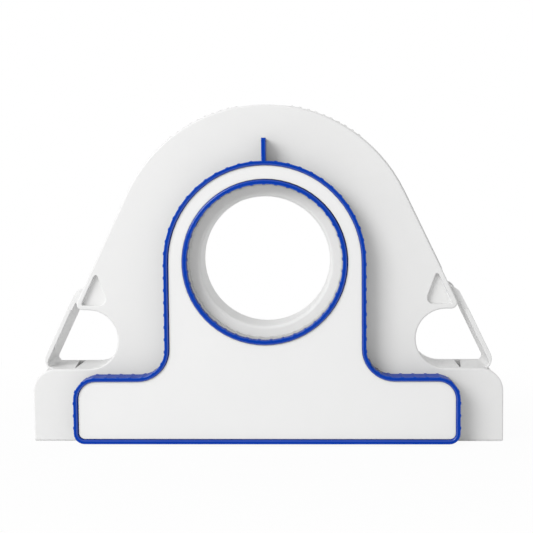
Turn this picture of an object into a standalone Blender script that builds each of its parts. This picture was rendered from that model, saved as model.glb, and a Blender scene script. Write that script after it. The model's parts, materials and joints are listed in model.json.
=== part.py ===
# Masking tape applicator
#
# A flat hand tool that carries a roll of masking tape between two moulded plates.
# The fingers go through the bore, the palm rests on the arch, and the base rubs the tape down.
# X runs along the base, Y from the face to the back, and Z up from the base.
# The origin is the middle of the base, half way through the depth. Units are metres.

import math

import bmesh
import bpy
from mathutils import Matrix, Vector

# Running gap between pieces that meet, and how far a cutter passes the face it cuts
GAP = 0.0003
OVERRUN = 0.0012
# Largest distance of a facet from its arc
FACET = 0.00005
# Outlines are drawn in this unit, because filling a curve is coarse in metres
DRAWING_UNIT = 0.001

# The tape that the tool is made for
TAPE_WIDTH = 0.024
TAPE_SIDE_PLAY = 0.0005
CORE_BORE_RADIUS = 0.0381

# Walls and depths of the two housing halves, and how far the blue frame stands forward
PLATE = 0.002
RIM_WALL = 0.0022
COVER_DEPTH = 0.0042
RELIEF = 0.0106

# Outline of the body, heights from the base
AXIS_HEIGHT = 0.085
ARCH_RISE = 0.001
ARCH_RADIUS = 0.0717
HALF_WIDTH = 0.1106
FLOOR_HEIGHT = 0.0345
FINGER_RADIUS = 0.01395
FINGER_REACH = 0.021
FOOT_CORNER = 0.0108
NOSE_ROUND = 0.0028
BASE_CORNER = 0.0006
SHOULDER_RUN = 0.0063
SHOULDER_DROP = 0.0095

# Grip ribs over the arch, on each side of the top
GRIP_COUNT = 10
GRIP_FIRST = math.radians(10.5)
GRIP_STEP = math.radians(3.0)
GRIP_WIDTH = 0.0018
GRIP_HEIGHT = 0.0007

# Tube round the bore, and the ribbed hub that turns on it
TUBE_WALL = 0.0024
TUBE_DRAFT = 0.0005
HUB_WALL = 0.0022
HUB_RIB_COUNT = 12
HUB_RIB_WIDTH = 0.0034
HUB_RIB_HEIGHT = 0.0021
HUB_PLAY = 0.0004
CORE_PLAY = 0.0002

# Blue frame: an arch on two legs over a wide foot, with a ring round the bore
RING_LEDGE = 0.0056
RING_WALL = 0.0021
PANEL_BAND = 0.0085
FRAME_END_GAP = 0.02115
FRAME_FOOT_DROP = 0.0025
FRAME_BOTTOM = 0.0009
FRAME_WALL = 0.002
FRAME_FLOOR = 0.0016
LEG_FILLET_SHARE = 0.3
FRAME_TOP_CORNER_SHARE = 0.24
FRAME_BOTTOM_CORNER = 0.005
EDGE_RIB_PITCH = 0.0057
EDGE_RIB_WIDTH = 0.0018
EDGE_RIB_HEIGHT = 0.00045
RING_RIB_COUNT = 41
FIN_WIDTH = 0.002
FIN_LENGTH = 0.0104

# Face panel inside the blue frame
PANEL_THICKNESS = 0.002
PANEL_RECESS = 0.0012
PANEL_RING_GAP = 0.0006
PANEL_BOSS_RADIUS = 0.003
PANEL_POST_RADIUS = 0.0018
PANEL_POST_COUNT = 5

# Triangular pockets in the front cover, beside the noses
POCKET_DEPTH = 0.0028
POCKET_FLOOR = 0.0012
POCKET_WALL = 0.001
POCKET_EDGE_LAND = 0.0023
POCKET_BASE_LAND = 0.0022
POCKET_WIDTH = 0.0133
POCKET_LEAN = math.radians(20.0)
POCKET_HEEL = 0.003
POCKET_CORNER = 0.0009

# End arms: an L of moulded strip on a round knuckle
PIVOT_INSET = 0.0047
PIVOT_RISE = 0.0058
ARM_STRIP = 0.0022
KNUCKLE_RADIUS = 0.0053
KNUCKLE_PLAY = 0.0005
KNUCKLE_SETBACK = 0.001
KNUCKLE_STEP = 0.0062
KNUCKLE_SEAT_WALL = 0.0018
ARM_CORNER = 0.0058
ARM_INNER_CORNER = 0.0022
ARM_TOE_GAP = 0.0005
ARM_TOE_MITRE = 0.003

# Steel pins of the arms and axles of the rollers, and the bosses that hold them
PIN_RADIUS = 0.0015
PIN_TIP_RADIUS = 0.0009
PIN_TIP_LENGTH = 0.0012
PIN_SOCKET_RADIUS = 0.0019
PIN_SEAT_SKIN = 0.0008
BOSS_RADIUS = 0.0034
BOSS_HEIGHT = 0.0015

# Guide rollers inside the ends of the foot
ROLLER_INSET = 0.0116
ROLLER_HEIGHT = 0.0105
ROLLER_RADIUS = 0.006
ROLLER_CHAMFER = 0.0006
ROLLER_END_PLAY = 0.0005

# Exit slots in the base, and the saw-edged blades beside them
SLOT_LENGTH = 0.006
BLADE_THICKNESS = 0.0006
BLADE_HEIGHT = 0.0095
BLADE_LIFT = 0.0006
BLADE_SIDE_GAP = 0.0008
TOOTH_COUNT = 14
TOOTH_HEIGHT = 0.0011
BLADE_SCREW_RADIUS = 0.0009
BLADE_SCREW_HEAD_RADIUS = 0.0016
BLADE_SCREW_HEAD_HEIGHT = 0.0006
BLADE_SCREW_SPACING = 0.012
BLADE_SCREW_HEIGHT = 0.0066

# Pegs on the cover and their sockets in the rear shell
PEG_RADIUS = 0.0021
PEG_LENGTH = 0.0215
PEG_SOCKET_WALL = 0.0013
PEG_SOCKET_HEIGHT = 0.014
UPPER_PEG_INSET = 0.0174
UPPER_PEG_RISE = 0.0138
LOWER_PEG_INSET = 0.0446
LOWER_PEG_HEIGHT = 0.0088

# Countersunk screws that pull the face panel, the frame and the cover together
SCREW_COUNT = 5
SCREW_END_GAP = 0.00945
SCREW_HEIGHT = 0.009
SCREW_RADIUS = 0.0011
SCREW_HEAD_RADIUS = 0.0022
SCREW_HEAD_HEIGHT = 0.0012
SCREW_RECESS_RADIUS = 0.0009
SCREW_RECESS_DEPTH = 0.0006

# Stations along Y, from the face to the back
BAY_WIDTH = TAPE_WIDTH + 2 * TAPE_SIDE_PLAY
DEPTH = RELIEF + PLATE + BAY_WIDTH + PLATE
FACE_Y = -DEPTH / 2
BACK_Y = DEPTH / 2
COVER_Y = FACE_Y + RELIEF
SHELL_FRONT_Y = COVER_Y + COVER_DEPTH + GAP
BAY_FRONT_Y = COVER_Y + PLATE
BAY_BACK_Y = BACK_Y - PLATE
FRAME_BACK_Y = COVER_Y - GAP
FRAME_FLOOR_Y = FRAME_BACK_Y - FRAME_FLOOR
PANEL_FRONT_Y = FACE_Y + PANEL_RECESS
PANEL_BACK_Y = PANEL_FRONT_Y + PANEL_THICKNESS
KNUCKLE_FRONT_Y = SHELL_FRONT_Y + KNUCKLE_SETBACK
ARM_BACK_Y = BAY_BACK_Y - GAP
PIN_END_Y = BACK_Y - PIN_SEAT_SKIN - GAP

# The core of the tape sets the hub, the hub sets the bore, and the bore sets the blue frame
HUB_INNER_RADIUS = CORE_BORE_RADIUS - CORE_PLAY - HUB_RIB_HEIGHT - HUB_WALL
TUBE_OUTER_RADIUS = HUB_INNER_RADIUS - HUB_PLAY
BORE_RADIUS = TUBE_OUTER_RADIUS - TUBE_WALL - TUBE_DRAFT
RING_INNER_RADIUS = BORE_RADIUS + RING_LEDGE
RING_OUTER_RADIUS = RING_INNER_RADIUS + RING_WALL
FRAME_RADIUS = RING_OUTER_RADIUS + PANEL_BAND
FRAME_HALF_WIDTH = HALF_WIDTH - FRAME_END_GAP
FRAME_FOOT_TOP = FLOOR_HEIGHT - FRAME_FOOT_DROP
FRAME_TOP = AXIS_HEIGHT + FRAME_RADIUS
LEG_FILLET = LEG_FILLET_SHARE * (FRAME_HALF_WIDTH - FRAME_RADIUS)
FRAME_TOP_CORNER = FRAME_TOP_CORNER_SHARE * (FRAME_HALF_WIDTH - FRAME_RADIUS)

# The slanted side touches the arch and points at the shoulder of the foot
ARCH_CENTRE_HEIGHT = AXIS_HEIGHT + ARCH_RISE
SHOULDER_X = HALF_WIDTH - SHOULDER_RUN
SHOULDER_FALL = ARCH_CENTRE_HEIGHT - FLOOR_HEIGHT
ARCH_VIEW = math.acos(ARCH_RADIUS / math.hypot(SHOULDER_X, SHOULDER_FALL))
SLOPE_ANGLE = ARCH_VIEW - math.atan(SHOULDER_FALL / SHOULDER_X)


def slope_x(height):
    """X of the body's slanted side at a height."""
    reach = ARCH_RADIUS - (height - ARCH_CENTRE_HEIGHT) * math.sin(SLOPE_ANGLE)
    return reach / math.cos(SLOPE_ANGLE)


# Places that follow from the nose, where the slanted side ends above the finger opening
NOSE_HEIGHT = FLOOR_HEIGHT + 2 * FINGER_RADIUS
NOSE_X = slope_x(NOSE_HEIGHT)
FINGER_INNER_X = NOSE_X - FINGER_REACH
ARM_PIVOT_X = NOSE_X - PIVOT_INSET
ARM_PIVOT_HEIGHT = NOSE_HEIGHT + PIVOT_RISE
ARM_TOE_X = FINGER_INNER_X + FINGER_RADIUS + KNUCKLE_RADIUS + ARM_STRIP
UPPER_PEG = (NOSE_X - UPPER_PEG_INSET, NOSE_HEIGHT + UPPER_PEG_RISE)

# Places that follow from the end of the foot
ROLLER_X = HALF_WIDTH - ROLLER_INSET
LOWER_PEG = (HALF_WIDTH - LOWER_PEG_INSET, LOWER_PEG_HEIGHT)
SCREW_SPACING = 2 * (FRAME_HALF_WIDTH - SCREW_END_GAP) / (SCREW_COUNT - 1)
END_WALL_X = HALF_WIDTH - RIM_WALL
BLADE_X = END_WALL_X - GAP - BLADE_THICKNESS
PIN_HOLE_RADIUS = PIN_RADIUS + GAP

COLORS = {
    'white_plastic': ((0.82, 0.82, 0.81, 1.0), 0.42, 0.0),
    'panel_plastic': ((0.86, 0.86, 0.85, 1.0), 0.38, 0.0),
    'blue_plastic': ((0.010, 0.055, 0.42, 1.0), 0.45, 0.0),
    'grey_plastic': ((0.30, 0.31, 0.32, 1.0), 0.5, 0.0),
    'steel': ((0.60, 0.61, 0.62, 1.0), 0.3, 1.0),
}


def clear_scene():
    for item in list(bpy.data.objects):
        bpy.data.objects.remove(item, do_unlink=True)


def new_collection(name):
    group = bpy.data.collections.new(name)
    bpy.context.scene.collection.children.link(group)
    return group


def material(name):
    found = bpy.data.materials.get(name)
    if found:
        return found
    color, roughness, metallic = COLORS[name]
    made = bpy.data.materials.new(name)
    made.use_nodes = True
    shader = made.node_tree.nodes['Principled BSDF']
    shader.inputs['Base Color'].default_value = color
    shader.inputs['Roughness'].default_value = roughness
    shader.inputs['Metallic'].default_value = metallic
    return made


# Outlines are closed lists of (x, z) points, anticlockwise as seen from the front

def arc(cx, cz, radius, start, sweep):
    """Points on an arc, both ends included."""
    step = 2 * math.acos(1 - FACET / radius)
    count = 2 * math.ceil(abs(sweep) / step / 2)
    turns = [start + sweep * i / count for i in range(count + 1)]
    return [(cx + radius * math.cos(a), cz + radius * math.sin(a)) for a in turns]


def circle(cx, cz, radius):
    return arc(cx, cz, radius, math.pi / 2, 2 * math.pi)[:-1]


def direction(a, b):
    length = math.dist(a, b)
    return (b[0] - a[0]) / length, (b[1] - a[1]) / length


def around(corners, i):
    """Directions of the edges before and after a corner, and the turn between them."""
    before = direction(corners[i - 1][:2], corners[i][:2])
    after = direction(corners[i][:2], corners[(i + 1) % len(corners)][:2])
    cross = before[0] * after[1] - before[1] * after[0]
    dot = before[0] * after[0] + before[1] * after[1]
    return before, after, math.atan2(cross, dot)


def rounded(corners):
    """Round each corner (x, z, radius) of a closed outline with an arc."""
    points = []
    for i, (x, z, radius) in enumerate(corners):
        before, _, turn = around(corners, i)
        if radius <= 0:
            points.append((x, z))
            continue
        side = math.copysign(1, turn)
        reach = radius * math.tan(abs(turn) / 2)
        sx, sz = x - before[0] * reach, z - before[1] * reach
        cx, cz = sx - side * before[1] * radius, sz + side * before[0] * radius
        points += arc(cx, cz, radius, math.atan2(sz - cz, sx - cx), turn)
    return merged(points)


def merged(points):
    """Drop points that repeat the one before them."""
    return [p for i, p in enumerate(points) if math.dist(p, points[i - 1]) > GAP / 100]


def inset(corners, distance):
    """Move every edge of a closed outline inwards, and fit the corner radii to match."""
    moved = []
    for i, (x, z, radius) in enumerate(corners):
        before, after, turn = around(corners, i)
        scale = distance / (1 + math.cos(turn))
        new_radius = max(radius - distance, 0) if turn > 0 else radius + distance
        x -= scale * (before[1] + after[1])
        z += scale * (before[0] + after[0])
        moved.append((x, z, new_radius))
    return moved


def mirrored(points):
    """The same outline on the other side of the middle plane."""
    return [(-p[0], *p[1:]) for p in reversed(points)]


def sided(points, side):
    return points if side > 0 else mirrored(points)


def both_sides(right):
    """Add the left half to the corners of the right half, which run from bottom to top."""
    return right + mirrored([corner for corner in right if corner[0] > 0])


def upper_corners():
    """Corners from the floor of the finger opening to the top of the arch."""
    apex = ARCH_CENTRE_HEIGHT + ARCH_RADIUS / math.sin(SLOPE_ANGLE)
    return [(FINGER_INNER_X, FLOOR_HEIGHT, FINGER_RADIUS),
            (FINGER_INNER_X, NOSE_HEIGHT, FINGER_RADIUS),
            (NOSE_X, NOSE_HEIGHT, NOSE_ROUND),
            (0, apex, ARCH_RADIUS)]


def cover_corners():
    foot = [(HALF_WIDTH, 0, BASE_CORNER), (HALF_WIDTH, FLOOR_HEIGHT, FOOT_CORNER)]
    return both_sides(foot + upper_corners())


def shell_corners():
    """The rear shell has a slanted shoulder where the cover has a round corner."""
    foot = [(HALF_WIDTH, 0, BASE_CORNER),
            (HALF_WIDTH, FLOOR_HEIGHT - SHOULDER_DROP, NOSE_ROUND),
            (SHOULDER_X, FLOOR_HEIGHT, BASE_CORNER)]
    return both_sides(foot + upper_corners())


def frame_corners():
    return both_sides([(FRAME_HALF_WIDTH, FRAME_BOTTOM, FRAME_BOTTOM_CORNER),
                       (FRAME_HALF_WIDTH, FRAME_FOOT_TOP, FRAME_TOP_CORNER),
                       (FRAME_RADIUS, FRAME_FOOT_TOP, LEG_FILLET),
                       (FRAME_RADIUS, FRAME_TOP, FRAME_RADIUS)])


def from_top(points):
    """Start a closed outline at its highest point."""
    first = max(range(len(points)), key=lambda i: points[i][1])
    return points[first:] + points[:first]


def perimeter(points):
    return sum(math.dist(p, points[i - 1]) for i, p in enumerate(points))


def ribbed(points, spots, width, height):
    """Raise a small rib across a closed outline at each distance along it."""
    total = perimeter(points)
    spots = sorted(spot % total for spot in spots)
    profile = [(-width / 2, 0), (-width / 4, height), (width / 4, height), (width / 2, 0)]
    made = []
    walked = 0
    for i, start in enumerate(points):
        end = points[(i + 1) % len(points)]
        length = math.dist(start, end)
        along = direction(start, end)
        added = [(0, 0)] if all(gap_round(walked, spot, total) > width / 2 for spot in spots) else []
        for spot in spots:
            places = [((spot + shift) % total - walked, rise) for shift, rise in profile]
            added += [place for place in places if 0 <= place[0] < length]
        for reach, rise in sorted(added):
            made.append((start[0] + along[0] * reach + along[1] * rise,
                         start[1] + along[1] * reach - along[0] * rise))
        walked += length
    return merged(made)


def gap_round(a, b, total):
    """Distance between two places on a closed line."""
    apart = abs(a - b) % total
    return min(apart, total - apart)


def gripped(points):
    """Grip ribs on both sides of the top of an outline."""
    spots = [ARCH_RADIUS * (GRIP_FIRST + GRIP_STEP * i) for i in range(GRIP_COUNT)]
    return ribbed(from_top(points), spots + [-spot for spot in spots], GRIP_WIDTH, GRIP_HEIGHT)


def edge_ribbed(points):
    """Fine ribs all round the blue frame, except along its underside."""
    points = from_top(points)
    half = perimeter(points) / 2 - FRAME_HALF_WIDTH - FRAME_BOTTOM_CORNER
    count = int(half / EDGE_RIB_PITCH)
    spots = [EDGE_RIB_PITCH * (i + 1) for i in range(count)]
    return ribbed(points, spots + [-spot for spot in spots], EDGE_RIB_WIDTH, EDGE_RIB_HEIGHT)


def ring_ribbed(radius, count, width, height):
    """A circle round the bore's axis with ribs that stand out from it, or in if height is negative."""
    points = circle(0, AXIS_HEIGHT, radius)
    spots = [perimeter(points) * i / count for i in range(count)]
    return ribbed(points, spots, width, height)


# Solids

def place(name, mesh, group):
    item = bpy.data.objects.new(name, mesh)
    group.objects.link(item)
    if group == CUTTERS:
        item.hide_render = True
        item.display_type = 'WIRE'
    return item


def shade(mesh):
    mesh.shade_smooth()
    mesh.set_sharp_from_angle(angle=math.radians(30))


def join_caps(work):
    """Weld the caps of an extruded outline to its sides, and make each cap one face."""
    bmesh.ops.remove_doubles(work, verts=work.verts, dist=GAP / 100 / DRAWING_UNIT)
    for sign in (-1, 1):
        cap = [face for face in work.faces if all(sign * v.co.z > 0 for v in face.verts)]
        bmesh.ops.dissolve_faces(work, faces=cap)


def prism(name, points, front, back, group=None):
    """Solid between two stations along Y from a flat outline."""
    curve = bpy.data.curves.new(name, 'CURVE')
    curve.dimensions = '2D'
    curve.fill_mode = 'BOTH'
    curve.extrude = (back - front) / 2 / DRAWING_UNIT
    spline = curve.splines.new('POLY')
    spline.points.add(len(points) - 1)
    for knot, (x, z) in zip(spline.points, points):
        knot.co = (x / DRAWING_UNIT, z / DRAWING_UNIT, 0, 1)
    spline.use_cyclic_u = True
    outline = bpy.data.objects.new(name + '_outline', curve)
    CUTTERS.objects.link(outline)
    graph = bpy.context.evaluated_depsgraph_get()
    mesh = bpy.data.meshes.new_from_object(outline.evaluated_get(graph))
    bpy.data.objects.remove(outline)
    bpy.data.curves.remove(curve)
    work = bmesh.new()
    work.from_mesh(mesh)
    join_caps(work)
    for vertex in work.verts:
        x, z, side = vertex.co
        vertex.co = (x * DRAWING_UNIT, front if side > 0 else back, z * DRAWING_UNIT)
    bmesh.ops.recalc_face_normals(work, faces=work.faces)
    work.to_mesh(mesh)
    work.free()
    shade(mesh)
    return place(name, mesh, group or CUTTERS)


def box(name, low, high, group=None):
    """Box between two opposite corners."""
    low, high = Vector(low), Vector(high)
    size = Matrix.Diagonal((*(high - low), 1))
    work = bmesh.new()
    bmesh.ops.create_cube(work, size=1, matrix=Matrix.Translation((low + high) / 2) @ size)
    mesh = bpy.data.meshes.new(name)
    work.to_mesh(mesh)
    work.free()
    return place(name, mesh, group or CUTTERS)


def rod(name, x, z, radius, front, back, group=None, end_radius=None):
    """Round bar along Y, or a cone whose radius at the back is end_radius."""
    return rods(name, [(x, z)], radius, front, back, group, end_radius)


def rods(name, places, radius, front, back, group=None, end_radius=None):
    """One object with a bar like rod's at each (x, z)."""
    work = bmesh.new()
    for x, z in places:
        bar = bmesh.ops.create_cone(work, cap_ends=True, segments=len(circle(0, 0, radius)), depth=1,
                                    radius1=radius, radius2=end_radius or radius)
        for vertex in bar['verts']:
            across, down, end = vertex.co
            vertex.co = (x + across, back if end > 0 else front, z - down)
    mesh = bpy.data.meshes.new(name)
    work.to_mesh(mesh)
    work.free()
    shade(mesh)
    return place(name, mesh, group or CUTTERS)


def turned(name, profile, group=None):
    """Solid of revolution round the object's local Z. The profile runs down its outer side."""
    closed = profile[0][0] > 0
    edges = [(i, i + 1) for i in range(len(profile) - 1)]
    if closed:
        edges.append((len(profile) - 1, 0))
    mesh = bpy.data.meshes.new(name)
    mesh.from_pydata([(radius, 0, station) for radius, station in profile], edges, [])
    item = place(name, mesh, group or CUTTERS)
    screw = item.modifiers.new('turn', 'SCREW')
    screw.steps = len(circle(0, 0, max(radius for radius, _ in profile)))
    screw.render_steps = screw.steps
    screw.use_merge_vertices = True
    screw.merge_threshold = GAP / 100
    screw.use_smooth_shade = True
    return item


def turned_along_y(name, profile, x, z, group=None):
    """Solid of revolution whose stations are places along Y, on an axis at x and z."""
    middle = (profile[0][1] + profile[-1][1]) / 2
    item = turned(name, [(radius, station - middle) for radius, station in profile], group)
    item.rotation_euler = (-math.pi / 2, 0, 0)
    item.location = (x, middle, z)
    return item


def set_origin(item, x, z):
    """Put an object's origin on an axis along Y and leave its shape where it is."""
    item.data.transform(Matrix.Translation((-x, 0, -z)))
    item.location = (x, 0, z)


def boolean(item, tool, operation):
    step = item.modifiers.new(tool.name, 'BOOLEAN')
    step.operation = operation
    step.object = tool
    step.solver = 'EXACT'


def cut(item, *tools):
    for tool in tools:
        boolean(item, tool, 'DIFFERENCE')


def join(item, *tools):
    for tool in tools:
        boolean(item, tool, 'UNION')


def side_name(name, side):
    return name + ('_right' if side > 0 else '_left')


# Pieces of the housing

def peg_places():
    return [(side * x, z) for side in (-1, 1) for x, z in (UPPER_PEG, LOWER_PEG)]


def screw_places():
    return [(SCREW_SPACING * (i - (SCREW_COUNT - 1) / 2), SCREW_HEIGHT) for i in range(SCREW_COUNT)]


def exit_slot(side):
    """Cutter for the slot in the base where the tape comes out, across both halves of the housing."""
    ends = sorted((side * END_WALL_X, side * (END_WALL_X - SLOT_LENGTH)))
    return box(side_name('exit_slot', side), (ends[0], BAY_FRONT_Y, -OVERRUN),
               (ends[1], BAY_BACK_Y, RIM_WALL + OVERRUN))


def mouth(side):
    """Cutter for the threading mouth, as far as the arm's foot swings."""
    reach = math.dist((ARM_PIVOT_X, ARM_PIVOT_HEIGHT), arm_corner_centre()) + ARM_CORNER + GAP
    edge = ARM_TOE_X - ARM_TOE_GAP
    top = FLOOR_HEIGHT + OVERRUN
    start = -math.acos((edge - ARM_PIVOT_X) / reach)
    end = -math.asin((ARM_PIVOT_HEIGHT - top) / reach)
    swept = arc(ARM_PIVOT_X, ARM_PIVOT_HEIGHT, reach, start, end - start)
    return prism(side_name('mouth', side), sided(swept + [(edge, top)], side),
                 SHELL_FRONT_Y - OVERRUN, BAY_BACK_Y)


def add_knuckle_seat(shell, side):
    """Round seat for an arm's knuckle, and the ear behind it on the back plate."""
    x, z = side * ARM_PIVOT_X, ARM_PIVOT_HEIGHT
    inner = KNUCKLE_RADIUS + KNUCKLE_PLAY
    wall = rod(side_name('seat_wall', side), x, z, inner + KNUCKLE_SEAT_WALL, SHELL_FRONT_Y,
               BAY_BACK_Y + GAP)
    clip = prism(side_name('seat_clip', side), rounded(inset(shell_corners(), RIM_WALL / 2)),
                 SHELL_FRONT_Y - OVERRUN, BACK_Y + OVERRUN)
    boolean(wall, clip, 'INTERSECT')
    join(shell, wall)
    near, far = sorted((x - side * KNUCKLE_RADIUS / 2, side * (NOSE_X + OVERRUN)))
    cut(shell, rod(side_name('seat', side), x, z, inner, SHELL_FRONT_Y - OVERRUN, BAY_BACK_Y),
        box(side_name('seat_outlet', side), (near, SHELL_FRONT_Y - OVERRUN, NOSE_HEIGHT - OVERRUN),
            (far, BAY_BACK_Y, z)))
    join(shell, rod(side_name('ear', side), x, z, KNUCKLE_RADIUS, BAY_BACK_Y, BACK_Y))
    cut(shell, rod(side_name('arm_pin_hole', side), x, z, PIN_HOLE_RADIUS,
                   BAY_BACK_Y - OVERRUN, BACK_Y - PIN_SEAT_SKIN))


def rear_shell():
    corners = shell_corners()
    shell = prism('rear_shell', gripped(rounded(corners)), SHELL_FRONT_Y, BACK_Y, PARTS)
    cut(shell, prism('shell_cavity', rounded(inset(corners, RIM_WALL)), SHELL_FRONT_Y - OVERRUN,
                     BAY_BACK_Y))
    join(shell, rod('tube', 0, AXIS_HEIGHT, TUBE_OUTER_RADIUS, BAY_FRONT_Y + GAP, BAY_BACK_Y + GAP))
    cut(shell, rod('shell_bore', 0, AXIS_HEIGHT, BORE_RADIUS, BAY_FRONT_Y - OVERRUN, BACK_Y + OVERRUN,
                   end_radius=BORE_RADIUS + TUBE_DRAFT))
    for side in (-1, 1):
        cut(shell, mouth(side), exit_slot(side))
        add_knuckle_seat(shell, side)
        x = side * ROLLER_X
        join(shell, rod(side_name('axle_boss', side), x, ROLLER_HEIGHT, BOSS_RADIUS,
                        BAY_BACK_Y - BOSS_HEIGHT, BAY_BACK_Y + GAP))
        cut(shell, rod(side_name('axle_hole', side), x, ROLLER_HEIGHT, PIN_HOLE_RADIUS,
                       BAY_BACK_Y - BOSS_HEIGHT - OVERRUN, BACK_Y - PIN_SEAT_SKIN))
        for i in (-1, 1):
            cut(shell, blade_screw_shape(side, i, 'blade_screw_hole', GAP, CUTTERS))
    front = BAY_BACK_Y - PEG_SOCKET_HEIGHT
    hole = PEG_RADIUS + GAP
    join(shell, rods('sockets', peg_places(), hole + PEG_SOCKET_WALL, front, BAY_BACK_Y + GAP))
    cut(shell, rods('socket_holes', peg_places(), hole, front - OVERRUN, BAY_BACK_Y - GAP))
    return shell


def pocket_corners(grow):
    """Triangular pocket that follows the slanted side, grown by a wall on every side."""
    base = NOSE_HEIGHT + POCKET_BASE_LAND
    outer = slope_x(base) - POCKET_EDGE_LAND / math.cos(SLOPE_ANGLE)
    inner = outer - POCKET_WIDTH
    lean = math.tan(POCKET_LEAN)
    height = POCKET_WIDTH / (lean + math.tan(SLOPE_ANGLE))
    corners = [(inner, base, POCKET_HEEL),
               (outer, base, POCKET_CORNER),
               (inner + height * lean, base + height, POCKET_CORNER)]
    return inset(corners, -grow)


def front_cover():
    corners = cover_corners()
    cover = prism('front_cover', gripped(rounded(corners)), COVER_Y, COVER_Y + COVER_DEPTH, PARTS)
    cut(cover, prism('cover_cavity', rounded(inset(corners, RIM_WALL)), BAY_FRONT_Y,
                     COVER_Y + COVER_DEPTH + OVERRUN))
    cut(cover, rod('cover_bore', 0, AXIS_HEIGHT, BORE_RADIUS, COVER_Y - OVERRUN, BAY_FRONT_Y + OVERRUN))
    for side in (-1, 1):
        back = COVER_Y + POCKET_DEPTH + POCKET_FLOOR
        join(cover, prism(side_name('pocket_pad', side), sided(rounded(pocket_corners(POCKET_WALL)), side),
                          COVER_Y + PLATE / 2, back))
        add_pin_sockets(cover, side)
        cut(cover, prism(side_name('pocket', side), sided(rounded(pocket_corners(0)), side),
                         COVER_Y - OVERRUN, COVER_Y + POCKET_DEPTH))
        cut(cover, exit_slot(side))
    for i, (x, z) in enumerate(screw_places()):
        cut(cover, countersink(f'countersink_{i}', x, z))
    join(cover, rods('pegs', peg_places(), PEG_RADIUS, BAY_FRONT_Y - GAP, BAY_FRONT_Y + PEG_LENGTH))
    return cover


def add_pin_sockets(cover, side):
    """Bosses behind the cover that hold the front ends of the arm's pin and the roller's axle."""
    x, z = side * ARM_PIVOT_X, ARM_PIVOT_HEIGHT
    front = KNUCKLE_FRONT_Y - GAP
    hole = PIN_TIP_RADIUS + GAP
    join(cover, rod(side_name('pin_socket', side), x, z, PIN_SOCKET_RADIUS, BAY_FRONT_Y - GAP, front))
    cut(cover, rod(side_name('pin_socket_hole', side), x, z, hole,
                   front - PIN_TIP_LENGTH - GAP, front + OVERRUN))
    x, z = side * ROLLER_X, ROLLER_HEIGHT
    front = COVER_Y + COVER_DEPTH
    join(cover, rod(side_name('axle_socket', side), x, z, BOSS_RADIUS, BAY_FRONT_Y - GAP, front))
    cut(cover, rod(side_name('axle_socket_hole', side), x, z, PIN_HOLE_RADIUS,
                   COVER_Y + PIN_SEAT_SKIN, front + OVERRUN))


# Pieces in front of the housing

def blue_frame():
    corners = frame_corners()
    frame = prism('blue_frame', edge_ribbed(rounded(corners)), FACE_Y, FRAME_BACK_Y, PARTS)
    tray = prism('tray', rounded(inset(corners, FRAME_WALL)), FACE_Y - OVERRUN, FRAME_FLOOR_Y)
    cut(tray, rod('ring', 0, AXIS_HEIGHT, RING_OUTER_RADIUS, FACE_Y - 2 * OVERRUN, FRAME_BACK_Y))
    inner = ring_ribbed(RING_INNER_RADIUS, RING_RIB_COUNT, EDGE_RIB_WIDTH, -EDGE_RIB_HEIGHT)
    cut(frame, tray, prism('ring_bore', inner, FACE_Y - OVERRUN, FRAME_BACK_Y + OVERRUN))
    join(frame, box('fin', (-FIN_WIDTH / 2, FACE_Y, FRAME_TOP - FRAME_WALL / 2),
                    (FIN_WIDTH / 2, FRAME_BACK_Y, FRAME_TOP + FIN_LENGTH)))
    cut(frame, rods('frame_holes', screw_places(), SCREW_RADIUS + GAP,
                    FRAME_FLOOR_Y - OVERRUN, FRAME_BACK_Y + OVERRUN))
    return frame


def face_panel():
    outline = rounded(inset(frame_corners(), FRAME_WALL + GAP))
    panel = prism('face_panel', outline, PANEL_FRONT_Y, PANEL_BACK_Y, PARTS)
    cut(panel, rod('panel_opening', 0, AXIS_HEIGHT, RING_OUTER_RADIUS + PANEL_RING_GAP,
                   PANEL_FRONT_Y - OVERRUN, PANEL_BACK_Y + OVERRUN))
    seat = FRAME_FLOOR_Y - GAP
    join(panel, rods('panel_bosses', screw_places(), PANEL_BOSS_RADIUS, PANEL_BACK_Y - GAP, seat))
    cut(panel, rods('panel_holes', screw_places(), SCREW_RADIUS + GAP, PANEL_BACK_Y, seat + OVERRUN))
    middle = (FRAME_RADIUS - FRAME_WALL + RING_OUTER_RADIUS) / 2
    turns = [math.pi * i / (PANEL_POST_COUNT - 1) for i in range(PANEL_POST_COUNT)]
    posts = [(middle * math.cos(turn), AXIS_HEIGHT + middle * math.sin(turn)) for turn in turns]
    join(panel, rods('panel_posts', posts, PANEL_POST_RADIUS, PANEL_BACK_Y - GAP, seat))
    return panel


# Moving pieces

def tape_hub():
    outline = ring_ribbed(HUB_INNER_RADIUS + HUB_WALL, HUB_RIB_COUNT, HUB_RIB_WIDTH, HUB_RIB_HEIGHT)
    hub = prism('tape_hub', outline, SHELL_FRONT_Y + GAP, BAY_BACK_Y - GAP, PARTS)
    cut(hub, rod('hub_bore', 0, AXIS_HEIGHT, HUB_INNER_RADIUS, BAY_FRONT_Y - OVERRUN,
                 BAY_BACK_Y + OVERRUN))
    set_origin(hub, 0, AXIS_HEIGHT)
    return hub


def arm_line(distance, height):
    """X at a height of a line along the strip, at a distance outwards from the pivot."""
    reach = distance - (height - ARM_PIVOT_HEIGHT) * math.sin(SLOPE_ANGLE)
    return ARM_PIVOT_X + reach / math.cos(SLOPE_ANGLE)


def arm_corner_centre():
    """Centre of the round corner between the strip and the foot of an arm."""
    z = FLOOR_HEIGHT - ARM_STRIP + ARM_CORNER
    return arm_line(KNUCKLE_RADIUS - ARM_CORNER, z), z


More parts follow.
